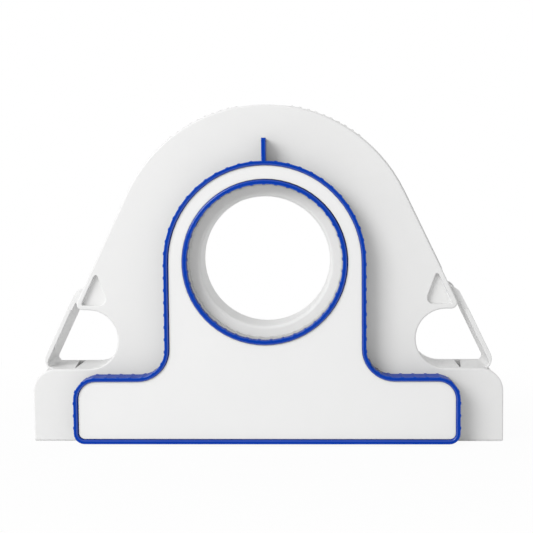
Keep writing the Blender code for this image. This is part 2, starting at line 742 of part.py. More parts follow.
def arm_outline():
    """Foot, strip and knuckle of the right arm in one line."""
    inner = KNUCKLE_RADIUS - ARM_STRIP
    half = math.acos(inner / KNUCKLE_RADIUS)
    sweep = 2 * math.pi - half
    knuckle = arc(ARM_PIVOT_X, ARM_PIVOT_HEIGHT, KNUCKLE_RADIUS, SLOPE_ANGLE, sweep)
    under = FLOOR_HEIGHT - ARM_STRIP
    corners = [(ARM_TOE_X, under, 0), (arm_line(KNUCKLE_RADIUS, under), under, ARM_CORNER)]
    corners += [(x, z, 0) for x, z in knuckle]
    corners += [(arm_line(inner, FLOOR_HEIGHT), FLOOR_HEIGHT, ARM_INNER_CORNER),
                (ARM_TOE_X, FLOOR_HEIGHT, 0)]
    return rounded(corners)


def end_arm(side):
    arm = prism(side_name('end_arm', side), sided(arm_outline(), side), SHELL_FRONT_Y, BACK_Y, PARTS)
    step = ARM_PIVOT_HEIGHT - KNUCKLE_STEP
    top = ARM_PIVOT_HEIGHT + KNUCKLE_RADIUS + OVERRUN
    near = FINGER_INNER_X
    far = arm_line(KNUCKLE_RADIUS, FLOOR_HEIGHT)
    low, high = sorted((side * near, side * far))
    cut(arm, box(side_name('knuckle_front', side), (low, SHELL_FRONT_Y - OVERRUN, step),
                 (high, KNUCKLE_FRONT_Y, top)))
    cut(arm, box(side_name('knuckle_back', side), (low, ARM_BACK_Y, step), (high, BACK_Y + OVERRUN, top)))
    cut(arm, box(side_name('foot_back', side), (low, ARM_BACK_Y, FLOOR_HEIGHT - ARM_STRIP - OVERRUN),
                 (high, BACK_Y + OVERRUN, FLOOR_HEIGHT + GAP)))
    cut(arm, toe_mitre(side))
    cut(arm, rod(side_name('knuckle_bore', side), side * ARM_PIVOT_X, ARM_PIVOT_HEIGHT, PIN_HOLE_RADIUS,
                 SHELL_FRONT_Y - OVERRUN, BACK_Y + OVERRUN))
    set_origin(arm, side * ARM_PIVOT_X, ARM_PIVOT_HEIGHT)
    return arm


def toe_mitre(side):
    """Cutter that slants the end of the arm's foot away from the floor's edge."""
    depth = BACK_Y - SHELL_FRONT_Y
    wedge = box(side_name('toe_mitre', side), (-ARM_TOE_MITRE, -depth, -ARM_STRIP), (0, depth, ARM_STRIP))
    wedge.rotation_euler = (0, 0, -side * math.atan(ARM_TOE_MITRE / depth))
    wedge.location = (side * (ARM_TOE_X + ARM_TOE_MITRE / 2), (SHELL_FRONT_Y + BACK_Y) / 2,
                      FLOOR_HEIGHT - ARM_STRIP / 2)
    if side < 0:
        wedge.data.transform(Matrix.Translation((ARM_TOE_MITRE, 0, 0)))
    return wedge


def arm_pin(side):
    """Steel pin with a thinner tip that sits in the front cover."""
    shoulder = KNUCKLE_FRONT_Y
    tip = shoulder - GAP - PIN_TIP_LENGTH
    profile = [(0, PIN_END_Y), (PIN_RADIUS, PIN_END_Y), (PIN_RADIUS, shoulder),
               (PIN_TIP_RADIUS, shoulder), (PIN_TIP_RADIUS, tip), (0, tip)]
    return turned_along_y(side_name('arm_pin', side), profile, side * ARM_PIVOT_X, ARM_PIVOT_HEIGHT, PARTS)


def roller_axle(side):
    front = COVER_Y + PIN_SEAT_SKIN + GAP
    profile = [(0, PIN_END_Y), (PIN_RADIUS, PIN_END_Y), (PIN_RADIUS, front), (0, front)]
    return turned_along_y(side_name('roller_axle', side), profile, side * ROLLER_X, ROLLER_HEIGHT, PARTS)


def guide_roller(side):
    """Roller with a counterbore in its back end that clears the boss round the axle."""
    front, back = COVER_Y + COVER_DEPTH + ROLLER_END_PLAY, BAY_BACK_Y - ROLLER_END_PLAY
    step = ROLLER_RADIUS - ROLLER_CHAMFER
    bore = PIN_HOLE_RADIUS
    well = BOSS_RADIUS + GAP
    floor = back - BOSS_HEIGHT
    profile = [(step, back), (ROLLER_RADIUS, back - ROLLER_CHAMFER),
               (ROLLER_RADIUS, front + ROLLER_CHAMFER), (step, front),
               (bore, front), (bore, floor), (well, floor), (well, back)]
    return turned_along_y(side_name('guide_roller', side), profile, side * ROLLER_X, ROLLER_HEIGHT, PARTS)


# Blades and fasteners

def cutter_blade(side):
    """Steel strip against the inside of the end wall, with teeth along its lower edge."""
    front, back = BAY_FRONT_Y + BLADE_SIDE_GAP, BAY_BACK_Y - BLADE_SIDE_GAP
    root = BLADE_LIFT + TOOTH_HEIGHT
    top = BLADE_LIFT + BLADE_HEIGHT
    pitch = (back - front) / TOOTH_COUNT
    points = [(back, root), (back, top), (front, top), (front, root)]
    for i in range(TOOTH_COUNT):
        points.append((front + pitch * (i + 0.5), BLADE_LIFT))
        if i < TOOTH_COUNT - 1:
            points.append((front + pitch * (i + 1), root))
    blade = prism(side_name('cutter_blade', side), points, -BLADE_THICKNESS / 2, BLADE_THICKNESS / 2, PARTS)
    blade.rotation_euler = (0, 0, math.pi / 2)
    blade.location = (side * (BLADE_X + BLADE_THICKNESS / 2), 0, 0)
    for i in (-1, 1):
        cut(blade, blade_screw_shape(side, i, 'blade_hole', GAP, CUTTERS))
    return blade


def blade_screw_shape(side, place_along, name, grow, group):
    """Round-headed screw along X through the blade into the end wall, or the hole it needs."""
    inner = BLADE_X - GAP
    crown = inner - BLADE_SCREW_HEAD_HEIGHT
    tip = HALF_WIDTH - PIN_SEAT_SKIN - GAP + grow
    shaft = BLADE_SCREW_RADIUS + grow
    profile = [(0, tip), (shaft, tip), (shaft, inner), (BLADE_SCREW_HEAD_RADIUS, inner),
               (BLADE_SCREW_HEAD_RADIUS, crown), (0, crown)]
    item = turned(f'{side_name(name, side)}_{(place_along + 3) // 2}', profile, group)
    item.rotation_euler = (0, side * math.pi / 2, 0)
    middle = (BAY_FRONT_Y + BAY_BACK_Y) / 2
    item.location = (0, middle + place_along * BLADE_SCREW_SPACING / 2, BLADE_SCREW_HEIGHT)
    return item


def frame_screw(name, x, z):
    """Countersunk screw from behind the cover into a boss of the face panel."""
    back, neck, tip = BAY_FRONT_Y, BAY_FRONT_Y - SCREW_HEAD_HEIGHT, PANEL_BACK_Y + GAP
    floor = back - SCREW_RECESS_DEPTH
    profile = [(0, floor), (SCREW_RECESS_RADIUS, floor), (SCREW_RECESS_RADIUS, back),
               (SCREW_HEAD_RADIUS, back), (SCREW_RADIUS, neck), (SCREW_RADIUS, tip), (0, tip)]
    return turned_along_y(name, profile, x, z, PARTS)


def countersink(name, x, z):
    """Cutter for a frame screw's hole in the cover, whose cone runs on past the face."""
    neck = BAY_FRONT_Y - SCREW_HEAD_HEIGHT
    flare = (SCREW_HEAD_RADIUS - SCREW_RADIUS) * (1 + OVERRUN / SCREW_HEAD_HEIGHT)
    shaft = SCREW_RADIUS + GAP
    profile = [(0, BAY_FRONT_Y + OVERRUN), (shaft + flare, BAY_FRONT_Y + OVERRUN), (shaft, neck),
               (shaft, COVER_Y - OVERRUN), (0, COVER_Y - OVERRUN)]
    return turned_along_y(name, profile, x, z)


clear_scene()
PARTS = new_collection('masking_tape_applicator')
CUTTERS = new_collection('cutters')

for builder in (rear_shell, front_cover):
    builder().data.materials.append(material('white_plastic'))
blue_frame().data.materials.append(material('blue_plastic'))
face_panel().data.materials.append(material('panel_plastic'))
tape_hub().data.materials.append(material('grey_plastic'))
for side in (-1, 1):
    end_arm(side).data.materials.append(material('white_plastic'))
    guide_roller(side).data.materials.append(material('grey_plastic'))
    for builder in (arm_pin, roller_axle, cutter_blade):
        builder(side).data.materials.append(material('steel'))
    for i in (-1, 1):
        blade_screw_shape(side, i, 'blade_screw', 0, PARTS).data.materials.append(material('steel'))
for i, (x, z) in enumerate(screw_places()):
    frame_screw(f'frame_screw_{i + 1}', x, z).data.materials.append(material('steel'))
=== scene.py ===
# %% [markdown]
# # Masking tape applicator
#
# A flat hand tool carries a roll of masking tape between two white plastic halves.
# A blue trim stands forward of the front half, and a plain panel lies inside it.
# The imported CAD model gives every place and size, and this script gives the looks.

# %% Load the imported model
import json
import math

import bmesh
import bpy
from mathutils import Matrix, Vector
from mathutils.bvhtree import BVHTree


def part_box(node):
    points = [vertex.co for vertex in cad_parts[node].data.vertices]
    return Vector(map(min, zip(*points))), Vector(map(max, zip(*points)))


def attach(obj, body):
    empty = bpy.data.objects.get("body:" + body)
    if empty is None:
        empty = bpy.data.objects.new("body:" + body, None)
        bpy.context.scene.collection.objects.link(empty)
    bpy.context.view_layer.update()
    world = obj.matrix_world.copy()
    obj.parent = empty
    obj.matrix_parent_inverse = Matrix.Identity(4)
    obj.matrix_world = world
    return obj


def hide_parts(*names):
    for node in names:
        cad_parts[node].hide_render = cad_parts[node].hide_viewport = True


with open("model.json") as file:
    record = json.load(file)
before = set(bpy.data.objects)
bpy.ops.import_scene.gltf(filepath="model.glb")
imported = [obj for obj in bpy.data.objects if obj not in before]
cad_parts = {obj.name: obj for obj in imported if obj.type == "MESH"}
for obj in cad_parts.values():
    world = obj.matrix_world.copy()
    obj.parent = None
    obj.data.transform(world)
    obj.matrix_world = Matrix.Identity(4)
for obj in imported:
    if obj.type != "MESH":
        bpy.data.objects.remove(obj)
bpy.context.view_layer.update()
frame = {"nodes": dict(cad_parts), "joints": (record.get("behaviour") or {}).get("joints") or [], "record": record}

# %% [markdown]
# ## The view
#
# The photograph looks at the face from half a metre, a little from the right and from above.
# The place and the turn come from the edges of the tool in the picture, so they are plain numbers here.
# A lens of 74 mm on a 36 mm sensor gives the same perspective.

# %% Camera
CAMERA_PLACE = (0.02205, -0.5198, 0.1174)
CAMERA_TURN = (86.1037, 0.5145, 2.3714)
CAMERA_LENS = 74.168
SENSOR_WIDTH = 36.0
NEAREST_VIEW = 0.01

camera_data = bpy.data.cameras.new("camera")
camera_data.lens = CAMERA_LENS
camera_data.sensor_width = SENSOR_WIDTH
camera_data.clip_start = NEAREST_VIEW
camera = bpy.data.objects.new("camera", camera_data)
camera.location = CAMERA_PLACE
camera.rotation_euler = [math.radians(turn) for turn in CAMERA_TURN]
bpy.context.scene.collection.objects.link(camera)
bpy.context.scene.camera = camera
print("camera at", tuple(camera.location))

# %% [markdown]
# ## The room
#
# White plastic shows its shape only through soft shade, so the light is a pale room with one large window.
# Several lamps could light it too, but each would leave a shadow of its own beside the raised trim.
# The room is brighter on the left than on the right, and its level is so low that no white surface clips.
# Small helpers set up the nodes that materials and world need over and over.

# %% Room
ROOM_LEFT = 0.80
ROOM_RIGHT = 0.50
WHITE = (1.0, 1.0, 1.0, 1.0)


def plug(tree, value, socket):
    """Set a socket to a number, or link another socket to it."""
    if isinstance(value, (int, float)):
        socket.default_value = value
    else:
        tree.links.new(value, socket)


def spread(tree, value, low, high, start, end, ease="LINEAR"):
    """Take a value that runs from low to high to one from start to end, and hold it at the ends."""
    step = tree.nodes.new("ShaderNodeMapRange")
    step.interpolation_type = ease
    for name, number in zip(("From Min", "From Max", "To Min", "To Max"), (low, high, start, end)):
        plug(tree, number, step.inputs[name])
    tree.links.new(value, step.inputs["Value"])
    return step.outputs["Result"]


world = bpy.data.worlds.new("room")
world.use_nodes = True
bpy.context.scene.world = world
room = world.node_tree
background = room.nodes["Background"]
background.inputs["Color"].default_value = WHITE
direction = room.nodes.new("ShaderNodeTexCoord")
axes = room.nodes.new("ShaderNodeSeparateXYZ")
room.links.new(direction.outputs["Generated"], axes.inputs[0])
room_level = spread(room, axes.outputs["X"], -1.0, 1.0, ROOM_LEFT, ROOM_RIGHT)
print("room level", ROOM_LEFT, "on the left and", ROOM_RIGHT, "on the right")

# %% [markdown]
# ## The backdrop
#
# Behind the tool the picture is plain white. A brighter room would do that, but it would wash out the shade.
# So the room is white only to the camera, and to gloss that mirrors what is behind the tool.

# %% Backdrop
BACKDROP_LEVEL = 1.0
BACKDROP_BLUR = 0.1


def calculate(tree, operation, first, second=0.0):
    """One Math node. Each operand is a number or a socket."""
    step = tree.nodes.new("ShaderNodeMath")
    step.operation = operation
    plug(tree, first, step.inputs[0])
    plug(tree, second, step.inputs[1])
    return step.outputs[0]


def seen_directly(tree, through=None):
    """A value of 1 for the camera and for what shines or shows through, and 0 for plain light."""
    path = tree.nodes.new("ShaderNodeLightPath")
    shone = calculate(tree, "MAXIMUM", path.outputs["Is Glossy Ray"], path.outputs["Is Transmission Ray"])
    if through is not None:
        shone = calculate(tree, "MULTIPLY", shone, through)
    return calculate(tree, "MAXIMUM", path.outputs["Is Camera Ray"], shone)


behind = spread(room, axes.outputs["Y"], -BACKDROP_BLUR, BACKDROP_BLUR, 0.0, 1.0)
strength = spread(room, seen_directly(room, behind), 0.0, 1.0, room_level, BACKDROP_LEVEL)
room.links.new(strength, background.inputs["Strength"])
print("room and backdrop have", len(room.nodes), "nodes")

# %% [markdown]
# ## The window
#
# The window is one square lamp, high on the left in front of the tool.
# Its width sets how soft the shadow on the right of the raised trim is.
# The view transform stays plain, so that a colour renders about as it is written.

# %% Window
WINDOW_PLACE = (-0.80, -1.00, 0.72)
WINDOW_AIM = (0.0, 0.0, 0.07)
WINDOW_WIDTH = 0.75
WINDOW_POWER = 10.5

lamp = bpy.data.lights.new("window", "AREA")
lamp.size = WINDOW_WIDTH
lamp.energy = WINDOW_POWER
window = bpy.data.objects.new("window", lamp)
window.location = WINDOW_PLACE
aim = Vector(WINDOW_AIM) - Vector(WINDOW_PLACE)
window.rotation_euler = aim.to_track_quat("-Z", "Y").to_euler()
bpy.context.scene.collection.objects.link(window)
bpy.context.scene.view_settings.view_transform = "Standard"
print("window", round(aim.length, 2), "m from the tool")

# %% [markdown]
# ## The floor
#
# The tool stands on a white table without an edge.
# The table glows plain white to the camera, so that it has no horizon.
# Near the tool a share of real light stays in, and that keeps the tool's own shadow.

# %% Floor
FLOOR_REACH = 3.0

work = bmesh.new()
bmesh.ops.create_grid(work, x_segments=1, y_segments=1, size=FLOOR_REACH)
floor_mesh = bpy.data.meshes.new("floor")
work.to_mesh(floor_mesh)
work.free()
floor = bpy.data.objects.new("floor", floor_mesh)
bpy.context.scene.collection.objects.link(floor)
print("floor", FLOOR_REACH * 2, "m wide")

# %% Floor finish
FLOOR_TONE = (0.80, 0.80, 0.80, 1.0)
SHADOW_REACH = 0.30
GLOW_NEAR = 0.93
GLOW_FAR = 1.0

table = bpy.data.materials.new("white_table")
table.use_nodes = True
tree = table.node_tree
tree.nodes.clear()
lit = tree.nodes.new("ShaderNodeBsdfDiffuse")
lit.inputs["Color"].default_value = FLOOR_TONE
glow = tree.nodes.new("ShaderNodeEmission")
glow.inputs["Color"].default_value = WHITE
place = tree.nodes.new("ShaderNodeTexCoord")
reach = tree.nodes.new("ShaderNodeVectorMath")
reach.operation = "LENGTH"
tree.links.new(place.outputs["Object"], reach.inputs[0])
fade = spread(tree, reach.outputs["Value"], 0.0, SHADOW_REACH, GLOW_NEAR, GLOW_FAR, "SMOOTHSTEP")
share = calculate(tree, "MULTIPLY", seen_directly(tree), fade)
blend = tree.nodes.new("ShaderNodeMixShader")
out = tree.nodes.new("ShaderNodeOutputMaterial")
tree.links.new(share, blend.inputs["Fac"])
tree.links.new(lit.outputs[0], blend.inputs[1])
tree.links.new(glow.outputs[0], blend.inputs[2])
tree.links.new(blend.outputs[0], out.inputs["Surface"])
floor_mesh.materials.append(table)
print("the tool's shadow fades out over", SHADOW_REACH, "m")

# %% [markdown]
# ## Moulded grain
#
# Several finishes share the same effects, so each effect is a node group with its own inputs.
# A group gives only masks and values, and the shader that takes them stays in the material.
# The first is the fine even grain that a spark-cut mould leaves on plastic.
# A picture of grain would repeat, so a noise makes it. Its height is for a bump, and its hollows are duller.

# %% Group: moulded grain
GRAIN_SCALE = 2200.0
GRAIN_DETAIL = 2.0
GRAIN_DULLING = 0.06
GRAIN_MIDDLE = 0.5


def new_group(name, inputs, outputs):
    """An empty shader node group with named sockets, and its two end nodes."""
    group = bpy.data.node_groups.new(name, "ShaderNodeTree")
    for socket, value in inputs.items():
        made = group.interface.new_socket(socket, in_out="INPUT", socket_type="NodeSocketFloat")
        made.default_value = value
    for socket in outputs:
        group.interface.new_socket(socket, in_out="OUTPUT", socket_type="NodeSocketFloat")
    print("group", name, "takes", list(inputs), "and gives", list(outputs))
    return group, group.nodes.new("NodeGroupInput"), group.nodes.new("NodeGroupOutput")


def noise_at(tree, coordinates, scale, detail):
    """A noise pattern whose scale is a number or a socket, in waves per metre."""
    noise = tree.nodes.new("ShaderNodeTexNoise")
    noise.inputs["Detail"].default_value = detail
    tree.links.new(coordinates, noise.inputs["Vector"])
    plug(tree, scale, noise.inputs["Scale"])
    return noise.outputs["Fac"]


def build_grain():
    """Height of a fine even grain, and a value that makes its hollows duller."""
    group, given, result = new_group("moulded_grain", {"Scale": GRAIN_SCALE, "Dulling": GRAIN_DULLING},
                                     ("Height", "Roughness"))
    place = group.nodes.new("ShaderNodeTexCoord")
    fine = noise_at(group, place.outputs["Object"], given.outputs["Scale"], GRAIN_DETAIL)
    group.links.new(fine, result.inputs["Height"])
    hollow = calculate(group, "SUBTRACT", GRAIN_MIDDLE, fine)
    dulled = calculate(group, "MULTIPLY", hollow, given.outputs["Dulling"])
    group.links.new(dulled, result.inputs["Roughness"])
    return group


GRAIN = build_grain()

# %% [markdown]
# ## Slow tone
#
# A large moulding is never one even colour, because the melt cools at its own pace in each place.
# A slow noise drifts between two near tones. Without it a plain white wall looks like paper.

# %% Group: slow tone
TONE_SCALE = 28.0
TONE_DETAIL = 3.0
TONE_RANGE = (0.3, 0.7)


def build_tone():
    """A slow drift between 0 and 1, with a fainter and finer one in it."""
    group, given, result = new_group("slow_tone", {"Scale": TONE_SCALE}, ("Tone",))
    place = group.nodes.new("ShaderNodeTexCoord")
    slow = noise_at(group, place.outputs["Object"], given.outputs["Scale"], TONE_DETAIL)
    group.links.new(spread(group, slow, *TONE_RANGE, 0.0, 1.0), result.inputs["Tone"])
    return group


TONE = build_tone()

# %% [markdown]
# ## Edge wear and painted highlight
# On the blue trim the same mask also paints a highlight along the edges, in a much paler blue.
#
# Handling polishes the edges of plastic and brightens them.
# The Bevel node gives the normal that a rounded edge would have, and an edge is where the real one differs.
# A noise breaks the mask up, because hands don't rub every place alike.

# %% Group: edge wear and painted highlight
WEAR_REACH = 0.0006
WEAR_SAMPLES = 4
WEAR_BEND = 0.2
WEAR_PATCH_SCALE = 160.0
WEAR_PATCH_DETAIL = 2.0


def build_edge_wear_and_highlight():
    """A mask that is highest along sharp edges and 0 on open faces, broken up by a noise."""
    group, given, result = new_group("edge_wear_and_highlight", {"Reach": WEAR_REACH, "Strength": 1.0}, ("Mask",))
    rounded = group.nodes.new("ShaderNodeBevel")
    rounded.samples = WEAR_SAMPLES
    group.links.new(given.outputs["Reach"], rounded.inputs["Radius"])
    surface = group.nodes.new("ShaderNodeNewGeometry")
    match = group.nodes.new("ShaderNodeVectorMath")
    match.operation = "DOT_PRODUCT"
    group.links.new(rounded.outputs["Normal"], match.inputs[0])
    group.links.new(surface.outputs["Normal"], match.inputs[1])
    bend = calculate(group, "SUBTRACT", 1.0, match.outputs["Value"])
    sharp = spread(group, bend, 0.0, WEAR_BEND, 0.0, 1.0)
    place = group.nodes.new("ShaderNodeTexCoord")
    patchy = noise_at(group, place.outputs["Object"], WEAR_PATCH_SCALE, WEAR_PATCH_DETAIL)
    broken = calculate(group, "MULTIPLY", sharp, patchy)
    mask = calculate(group, "MULTIPLY", broken, given.outputs["Strength"])
    group.links.new(mask, result.inputs["Mask"])
    return group


EDGE_WEAR_AND_HIGHLIGHT = build_edge_wear_and_highlight()

# %% [markdown]
# ## Polished rim
#
# The photograph shows a fine pale line on the rounded edges of the blue trim that face the window.
# The flat front beside them stays deep blue, so gloss on the whole trim would be wrong.
# This mask finds the rounding by how far the surface turns away from the front, and a gloss coat goes there.

# %% Group: polished rim
RIM_START = (0.005, 0.025)
RIM_END = (0.35, 0.55)


def build_rim():
    """A mask that is 1 on the rounding beside a flat front, and 0 on the front itself and on the walls."""
    group, given, result = new_group("polished_rim", {"Strength": 1.0}, ("Mask",))
    surface = group.nodes.new("ShaderNodeNewGeometry")
    axes = group.nodes.new("ShaderNodeSeparateXYZ")
    group.links.new(surface.outputs["Normal"], axes.inputs[0])
    turned = calculate(group, "SUBTRACT", 1.0, calculate(group, "ABSOLUTE", axes.outputs["Y"]))
    start = spread(group, turned, *RIM_START, 0.0, 1.0)
    end = spread(group, turned, *RIM_END, 1.0, 0.0)
    rounding = calculate(group, "MULTIPLY", start, end)
    mask = calculate(group, "MULTIPLY", rounding, given.outputs["Strength"])
    group.links.new(mask, result.inputs["Mask"])
    return group


RIM = build_rim()

# %% [markdown]
# ## Moulded plastic
#
# One function makes each plastic from two near tones, the tone of its edges, roughness and grain. The edge tone is
# wear, and on the blue trim it is also a painted highlight.
# Only the trim takes the last two inputs, the rim coat and the bounce.
# Blue throws blue light on white nearby. In the photograph that shade is grey, so for bounced light the blue is a
# neutral grey, paler than the blue, which paints the shade near the trim grey and lighter.

# %% Helpers for materials
MIX_COLOURS = (6, 7)
MIX_RESULT = 2


def new_finish(name):
    """A material with its node tree and its Principled BSDF."""
    made = bpy.data.materials.new(name)
    made.use_nodes = True
    print("finish", name)
    return made, made.node_tree, made.node_tree.nodes["Principled BSDF"]


def use_group(tree, group, **values):
    """Place a node group in a material, with its own values where they differ."""
    node = tree.nodes.new("ShaderNodeGroup")
    node.node_tree = group
    for name, value in values.items():
        node.inputs[name].default_value = value
    return node


def blend_colours(tree, share, first, second):
    """A colour between two, by a socket from 0 to 1. Each colour is a socket or a value.

    A Mix node has sockets for every type of data, so its colour sockets are found by their numbers.
    """
    mix = tree.nodes.new("ShaderNodeMix")
    mix.data_type = "RGBA"
    tree.links.new(share, mix.inputs["Factor"])
    for index, colour in zip(MIX_COLOURS, (first, second)):
        if isinstance(colour, tuple):
            mix.inputs[index].default_value = (*colour, 1.0)
        else:
            tree.links.new(colour, mix.inputs[index])
    return mix.outputs[MIX_RESULT]


def add_bump(tree, shader, height, depth, strength):
    """Tilt the shading by a height pattern that is this deep, in metres."""
    bump = tree.nodes.new("ShaderNodeBump")
    bump.inputs["Distance"].default_value = depth
    bump.inputs["Strength"].default_value = strength
    tree.links.new(height, bump.inputs["Height"])
    tree.links.new(bump.outputs["Normal"], shader.inputs["Normal"])


print("groups at hand:", [group.name for group in (GRAIN, TONE, EDGE_WEAR_AND_HIGHLIGHT, RIM)])

# %% Plastic function and the white of the halves
WEAR_POLISH = -0.12
PLASTIC_BUMP = 0.5
RIM_COAT_IOR = 1.62
RIM_COAT_ROUGHNESS = 0.12


def plastic(name, tones, edge, roughness, shine, grain, depth, bounce=None, rim_coat=0.0):
    """A moulded plastic with grain, slow tone and edges in a tone of their own, which is wear and, on the blue
    trim, also a painted highlight. Bounce is the colour of the light that it throws around, in place of its own
    colour.
    """
    made, tree, shader = new_finish(name)
    shader.inputs["Specular IOR Level"].default_value = shine
    tone = use_group(tree, TONE)
    edge_mask = use_group(tree, EDGE_WEAR_AND_HIGHLIGHT)
    fine = use_group(tree, GRAIN, Scale=grain)
    colour = blend_colours(tree, tone.outputs["Tone"], *tones)
    # The edge tone goes along the edges: wear, and on the blue trim also a painted highlight.
    colour = blend_colours(tree, edge_mask.outputs["Mask"], colour, edge)
    if bounce is not None:
        # Bounced light takes the bounce colour in place of the surface's own, which sets the tint and level of the
        # shade nearby.
        path = tree.nodes.new("ShaderNodeLightPath")
        colour = blend_colours(tree, path.outputs["Is Diffuse Ray"], colour, bounce)
    tree.links.new(colour, shader.inputs["Base Color"])
    dull = calculate(tree, "ADD", fine.outputs["Roughness"], roughness)
    polish = calculate(tree, "MULTIPLY", edge_mask.outputs["Mask"], WEAR_POLISH)
    tree.links.new(calculate(tree, "ADD", dull, polish), shader.inputs["Roughness"])
    add_bump(tree, shader, fine.outputs["Height"], depth, PLASTIC_BUMP)
    if rim_coat:
        rim = use_group(tree, RIM, Strength=rim_coat)
        shader.inputs["Coat IOR"].default_value = RIM_COAT_IOR
        shader.inputs["Coat Roughness"].default_value = RIM_COAT_ROUGHNESS
        tree.links.new(rim.outputs["Mask"], shader.inputs["Coat Weight"])
    return made


WHITE_PLASTIC = plastic("white_plastic", tones=((0.800, 0.800, 0.797), (0.818, 0.818, 0.814)),
                        edge=(0.86, 0.86, 0.858), roughness=0.46, shine=0.4, grain=2200.0, depth=0.000015)

# %% [markdown]
# ## The other plastics
#
# The two halves and the arms have the plain white of a filled plastic, and the panel is a smoother sheet.
# The trim is a deep blue. Inside its ring the wall is white too, in a darker white than the halves that paints the
# shade there.
# The hub and the rollers don't show in the picture, so they get the neutral grey of engineering plastic.

# %% Panel, trim, lining and inner pieces
PANEL_PLASTIC = plastic("panel_plastic", tones=((0.842, 0.842, 0.84), (0.853, 0.853, 0.850)),
                        edge=(0.88, 0.88, 0.878), roughness=0.40, shine=0.4, grain=3000.0, depth=0.00001)
# The blue's edge tone, far paler than its body, is a painted highlight along the trim's edges as well as wear. Its
# bounce is a neutral grey, brighter than the blue, so the shade it throws on the white nearby is lighter and grey.
BLUE_PLASTIC = plastic("blue_plastic", tones=((0.002, 0.042, 0.375), (0.003, 0.047, 0.400)),
                       edge=(0.050, 0.200, 0.80), roughness=0.30, shine=0.02, grain=2600.0, depth=0.00001,
                       bounce=(0.22, 0.225, 0.24), rim_coat=1.0)
# The lining's darker white is painted shade for the inside of the ring.
SHADED_LINING_PLASTIC = plastic("shaded_lining_plastic", tones=((0.56, 0.56, 0.558), (0.60, 0.60, 0.598)),
                         edge=(0.68, 0.68, 0.678), roughness=0.46, shine=0.4, grain=2200.0, depth=0.000015)
GREY_PLASTIC = plastic("grey_plastic", tones=((0.29, 0.295, 0.30), (0.32, 0.325, 0.33)),
                       edge=(0.42, 0.42, 0.43), roughness=0.44, shine=0.4, grain=2400.0, depth=0.00002)

# %% [markdown]
# ## Steel
#
# The pins and screws are turned and the blades are ground, so both have fine lines in one direction.
# A noise that is stretched along that direction gives the lines, in the roughness and in a faint bump.

# %% Steel finish
STEEL_EDGE = (0.86, 0.86, 0.87)
STEEL_WEAR_REACH = 0.0002
STEEL_TONE_SCALE = 90.0
LINE_DETAIL = 3.0
LINE_DULLING = 0.16
TONE_DULLING = 0.05
LINE_DEPTH = 0.00001
LINE_BUMP = 0.4


def steel(name, waves, tones, roughness):
    """Bright steel with fine lines. Waves are its waves per metre along X, Y and Z."""
    made, tree, shader = new_finish(name)
    shader.inputs["Metallic"].default_value = 1.0
    place = tree.nodes.new("ShaderNodeTexCoord")
    mapping = tree.nodes.new("ShaderNodeMapping")
    mapping.inputs["Scale"].default_value = waves
    tree.links.new(place.outputs["Object"], mapping.inputs["Vector"])
    lines = noise_at(tree, mapping.outputs["Vector"], 1.0, LINE_DETAIL)
    tone = use_group(tree, TONE, Scale=STEEL_TONE_SCALE)
    edge_mask = use_group(tree, EDGE_WEAR_AND_HIGHLIGHT, Reach=STEEL_WEAR_REACH)
    colour = blend_colours(tree, lines, *tones)
    colour = blend_colours(tree, edge_mask.outputs["Mask"], colour, STEEL_EDGE)
    tree.links.new(colour, shader.inputs["Base Color"])
    streak = calculate(tree, "MULTIPLY", lines, LINE_DULLING)
    drift = calculate(tree, "MULTIPLY", tone.outputs["Tone"], TONE_DULLING)
    dull = calculate(tree, "ADD", calculate(tree, "ADD", streak, drift), roughness)
    tree.links.new(dull, shader.inputs["Roughness"])
    add_bump(tree, shader, lines, LINE_DEPTH, LINE_BUMP)
    return made


TURNED_STEEL = steel("turned_steel", waves=(300.0, 6000.0, 300.0),
                     tones=((0.52, 0.53, 0.54), (0.66, 0.67, 0.68)), roughness=0.2)
GROUND_STEEL = steel("ground_steel", waves=(400.0, 400.0, 7000.0),
                     tones=((0.56, 0.57, 0.58), (0.70, 0.71, 0.72)), roughness=0.16)

# %% [markdown]
# ## A finish for each CAD piece
#
# The hub, rollers, pins, axles, screws and blades keep their CAD meshes, whose shape is right.
# The record names a material slot for each piece, so one loop and a table of finishes dress them all.
# The blades share the steel slot with the pins, and get the ground steel by their name.

# %% Give each CAD piece its finish
FINISH_OF_SLOT = {
    "white_plastic": WHITE_PLASTIC,
    "panel_plastic": PANEL_PLASTIC,
    "blue_plastic": BLUE_PLASTIC,
    "grey_plastic": GREY_PLASTIC,
    "steel": TURNED_STEEL,
}
SLOT_OF_NODE = {part["node"]: part["material_slot"] for part in frame["record"]["subparts"]}
for node, slot_name in SLOT_OF_NODE.items():
    finish = GROUND_STEEL if node.startswith("cutter_blade") else FINISH_OF_SLOT[slot_name]
    for slot in frame["nodes"][node].material_slots:
        slot.material = finish
print("finished", len(SLOT_OF_NODE), "CAD pieces")

# %% [markdown]
# ## Rounded edges
#
# A moulded edge is never sharp: a corner of the mould has a radius of a few tenths of a millimetre.
# It could come from a Bevel modifier over the whole piece, but each rim here has a radius of its own.
# So a merged copy of each CAD solid gets a bevel only along the rims that are picked for it.

# %% Copy a solid and round its rims
MERGE_REACH = 1e-6
PLANE_REACH = 1e-5
FLAT_ANGLE = math.radians(0.3)
SHARP_ANGLE = math.radians(50.0)


def merged_copy(node):
    """A closed copy of a CAD solid whose flat facets are joined."""
    work = bmesh.new()
    work.from_mesh(frame["nodes"][node].data)
    bmesh.ops.remove_doubles(work, verts=work.verts, dist=MERGE_REACH)
    bmesh.ops.dissolve_limit(work, angle_limit=FLAT_ANGLE, verts=work.verts, edges=work.edges)
    print("copied", node, "with", len(work.faces), "faces")
    return work


